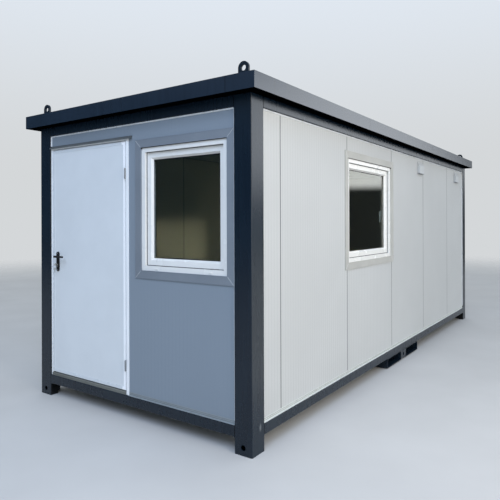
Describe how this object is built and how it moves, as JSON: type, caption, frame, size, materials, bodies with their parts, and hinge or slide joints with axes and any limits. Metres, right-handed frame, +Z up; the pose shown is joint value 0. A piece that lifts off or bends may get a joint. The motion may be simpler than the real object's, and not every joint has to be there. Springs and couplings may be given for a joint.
{
  "type": "portable site cabin",
  "caption": "Steel-framed portable cabin with sandwich-panel walls, outward-opening door, framed windows, flat overhanging roof edge, lifting eyes and fork pockets.",
  "frame": {"origin": "centre of the footprint, on the ground under the feet", "axes": "+Z up, Y along the length with the door end at -Y, +X to the long side with the window"},
  "size_m": [2.624, 6.244, 2.703],
  "materials": {
    "frame_coating": "semi-gloss anthracite coating on steel",
    "roof_edge_coating": "semi-gloss anthracite coating on folded sheet",
    "wall_coating": "light grey coil coating on steel faced panels",
    "galvanised_sheet": "galvanised sheet",
    "flashing": "grey coated folded sheet",
    "ceiling_coating": "white coil coating",
    "floor_deck": "sheet covering on a wood based board",
    "window_trim": "grey coated folded sheet",
    "window_plastic": "white extruded plastic",
    "glass": "double glazing",
    "door_frame_coating": "white coating",
    "door_coating": "off-white coating",
    "door_edging": "off-white coating, brighter than the leaf",
    "threshold": "mill finish section",
    "hinge_steel": "zinc plated steel",
    "handle_plastic": "black moulded nylon",
    "lock_steel": "nickel plated"
  },
  "bodies": {
    "cabin": {"corner_post_front_left": "frame_coating", "corner_post_front_right": "frame_coating", "corner_post_back_left": "frame_coating", "corner_post_back_right": "frame_coating", "bottom_rail_front": "frame_coating", "top_rail_front": "frame_coating", "roof_fascia_front": "roof_edge_coating", "bottom_rail_right": "frame_coating", "top_rail_right": "frame_coating", "roof_fascia_right": "roof_edge_coating", "bottom_rail_back": "frame_coating", "top_rail_back": "frame_coating", "roof_fascia_back": "roof_edge_coating", "bottom_rail_left": "frame_coating", "top_rail_left": "frame_coating", "roof_fascia_left": "roof_edge_coating", "roof_fascia_splices": "roof_edge_coating", "roof_sheet": "galvanised_sheet", "lifting_eye_front_left": "frame_coating", "lifting_eye_front_right": "frame_coating", "lifting_eye_back_left": "frame_coating", "lifting_eye_back_right": "frame_coating", "right_wall_panels": "wall_coating", "right_wall_below_window": "wall_coating", "right_wall_above_window": "wall_coating", "left_wall_panels": "wall_coating", "back_wall_panels": "wall_coating", "front_wall_above_door": "wall_coating", "front_wall_beside_door": "wall_coating", "vent_covers": "wall_coating", "base_flashings": "flashing", "ceiling_panel": "ceiling_coating", "floor_base_sheet": "galvanised_sheet", "floor_joists": "galvanised_sheet", "floor_deck": "floor_deck", "fork_pocket_front": "frame_coating", "fork_pocket_back": "frame_coating", "middle_lugs": "frame_coating", "front_window_trim": "window_trim", "front_window_frame": "window_plastic", "front_window_sash": "window_plastic", "front_window_glass": "glass", "front_window_handle": "window_plastic", "side_window_trim": "window_trim", "side_window_frame": "window_plastic", "side_window_sash": "window_plastic", "side_window_glass": "glass", "side_window_handle": "window_plastic", "door_frame": "door_frame_coating", "door_threshold": "threshold", "door_drip_flashing": "frame_coating", "door_hinge_pins": "hinge_steel"},
    "door": {"door_leaf": "door_coating", "door_leaf_edging": "door_edging", "door_hinge_knuckles": "hinge_steel", "door_handle_plates": "handle_plastic", "door_lock_cylinder": "lock_steel"},
    "lever": {"door_lever": "handle_plastic"}
  },
  "joints": [
    {"name": "door_hinge", "type": "hinge", "parent": "cabin", "child": "door", "pos_m": [-0.05, -3.026, 1.2], "axis": [0, 0, 1], "range_deg": [0, 110]},
    {"name": "lever_turn", "type": "hinge", "parent": "door", "child": "lever", "pos_m": [-0.97, -3.02, 1.289], "axis": [0, 1, 0], "range_deg": [0, 40], "stiffness_Nm_per_rad": 1, "springref_deg": -28.65}
  ]
}
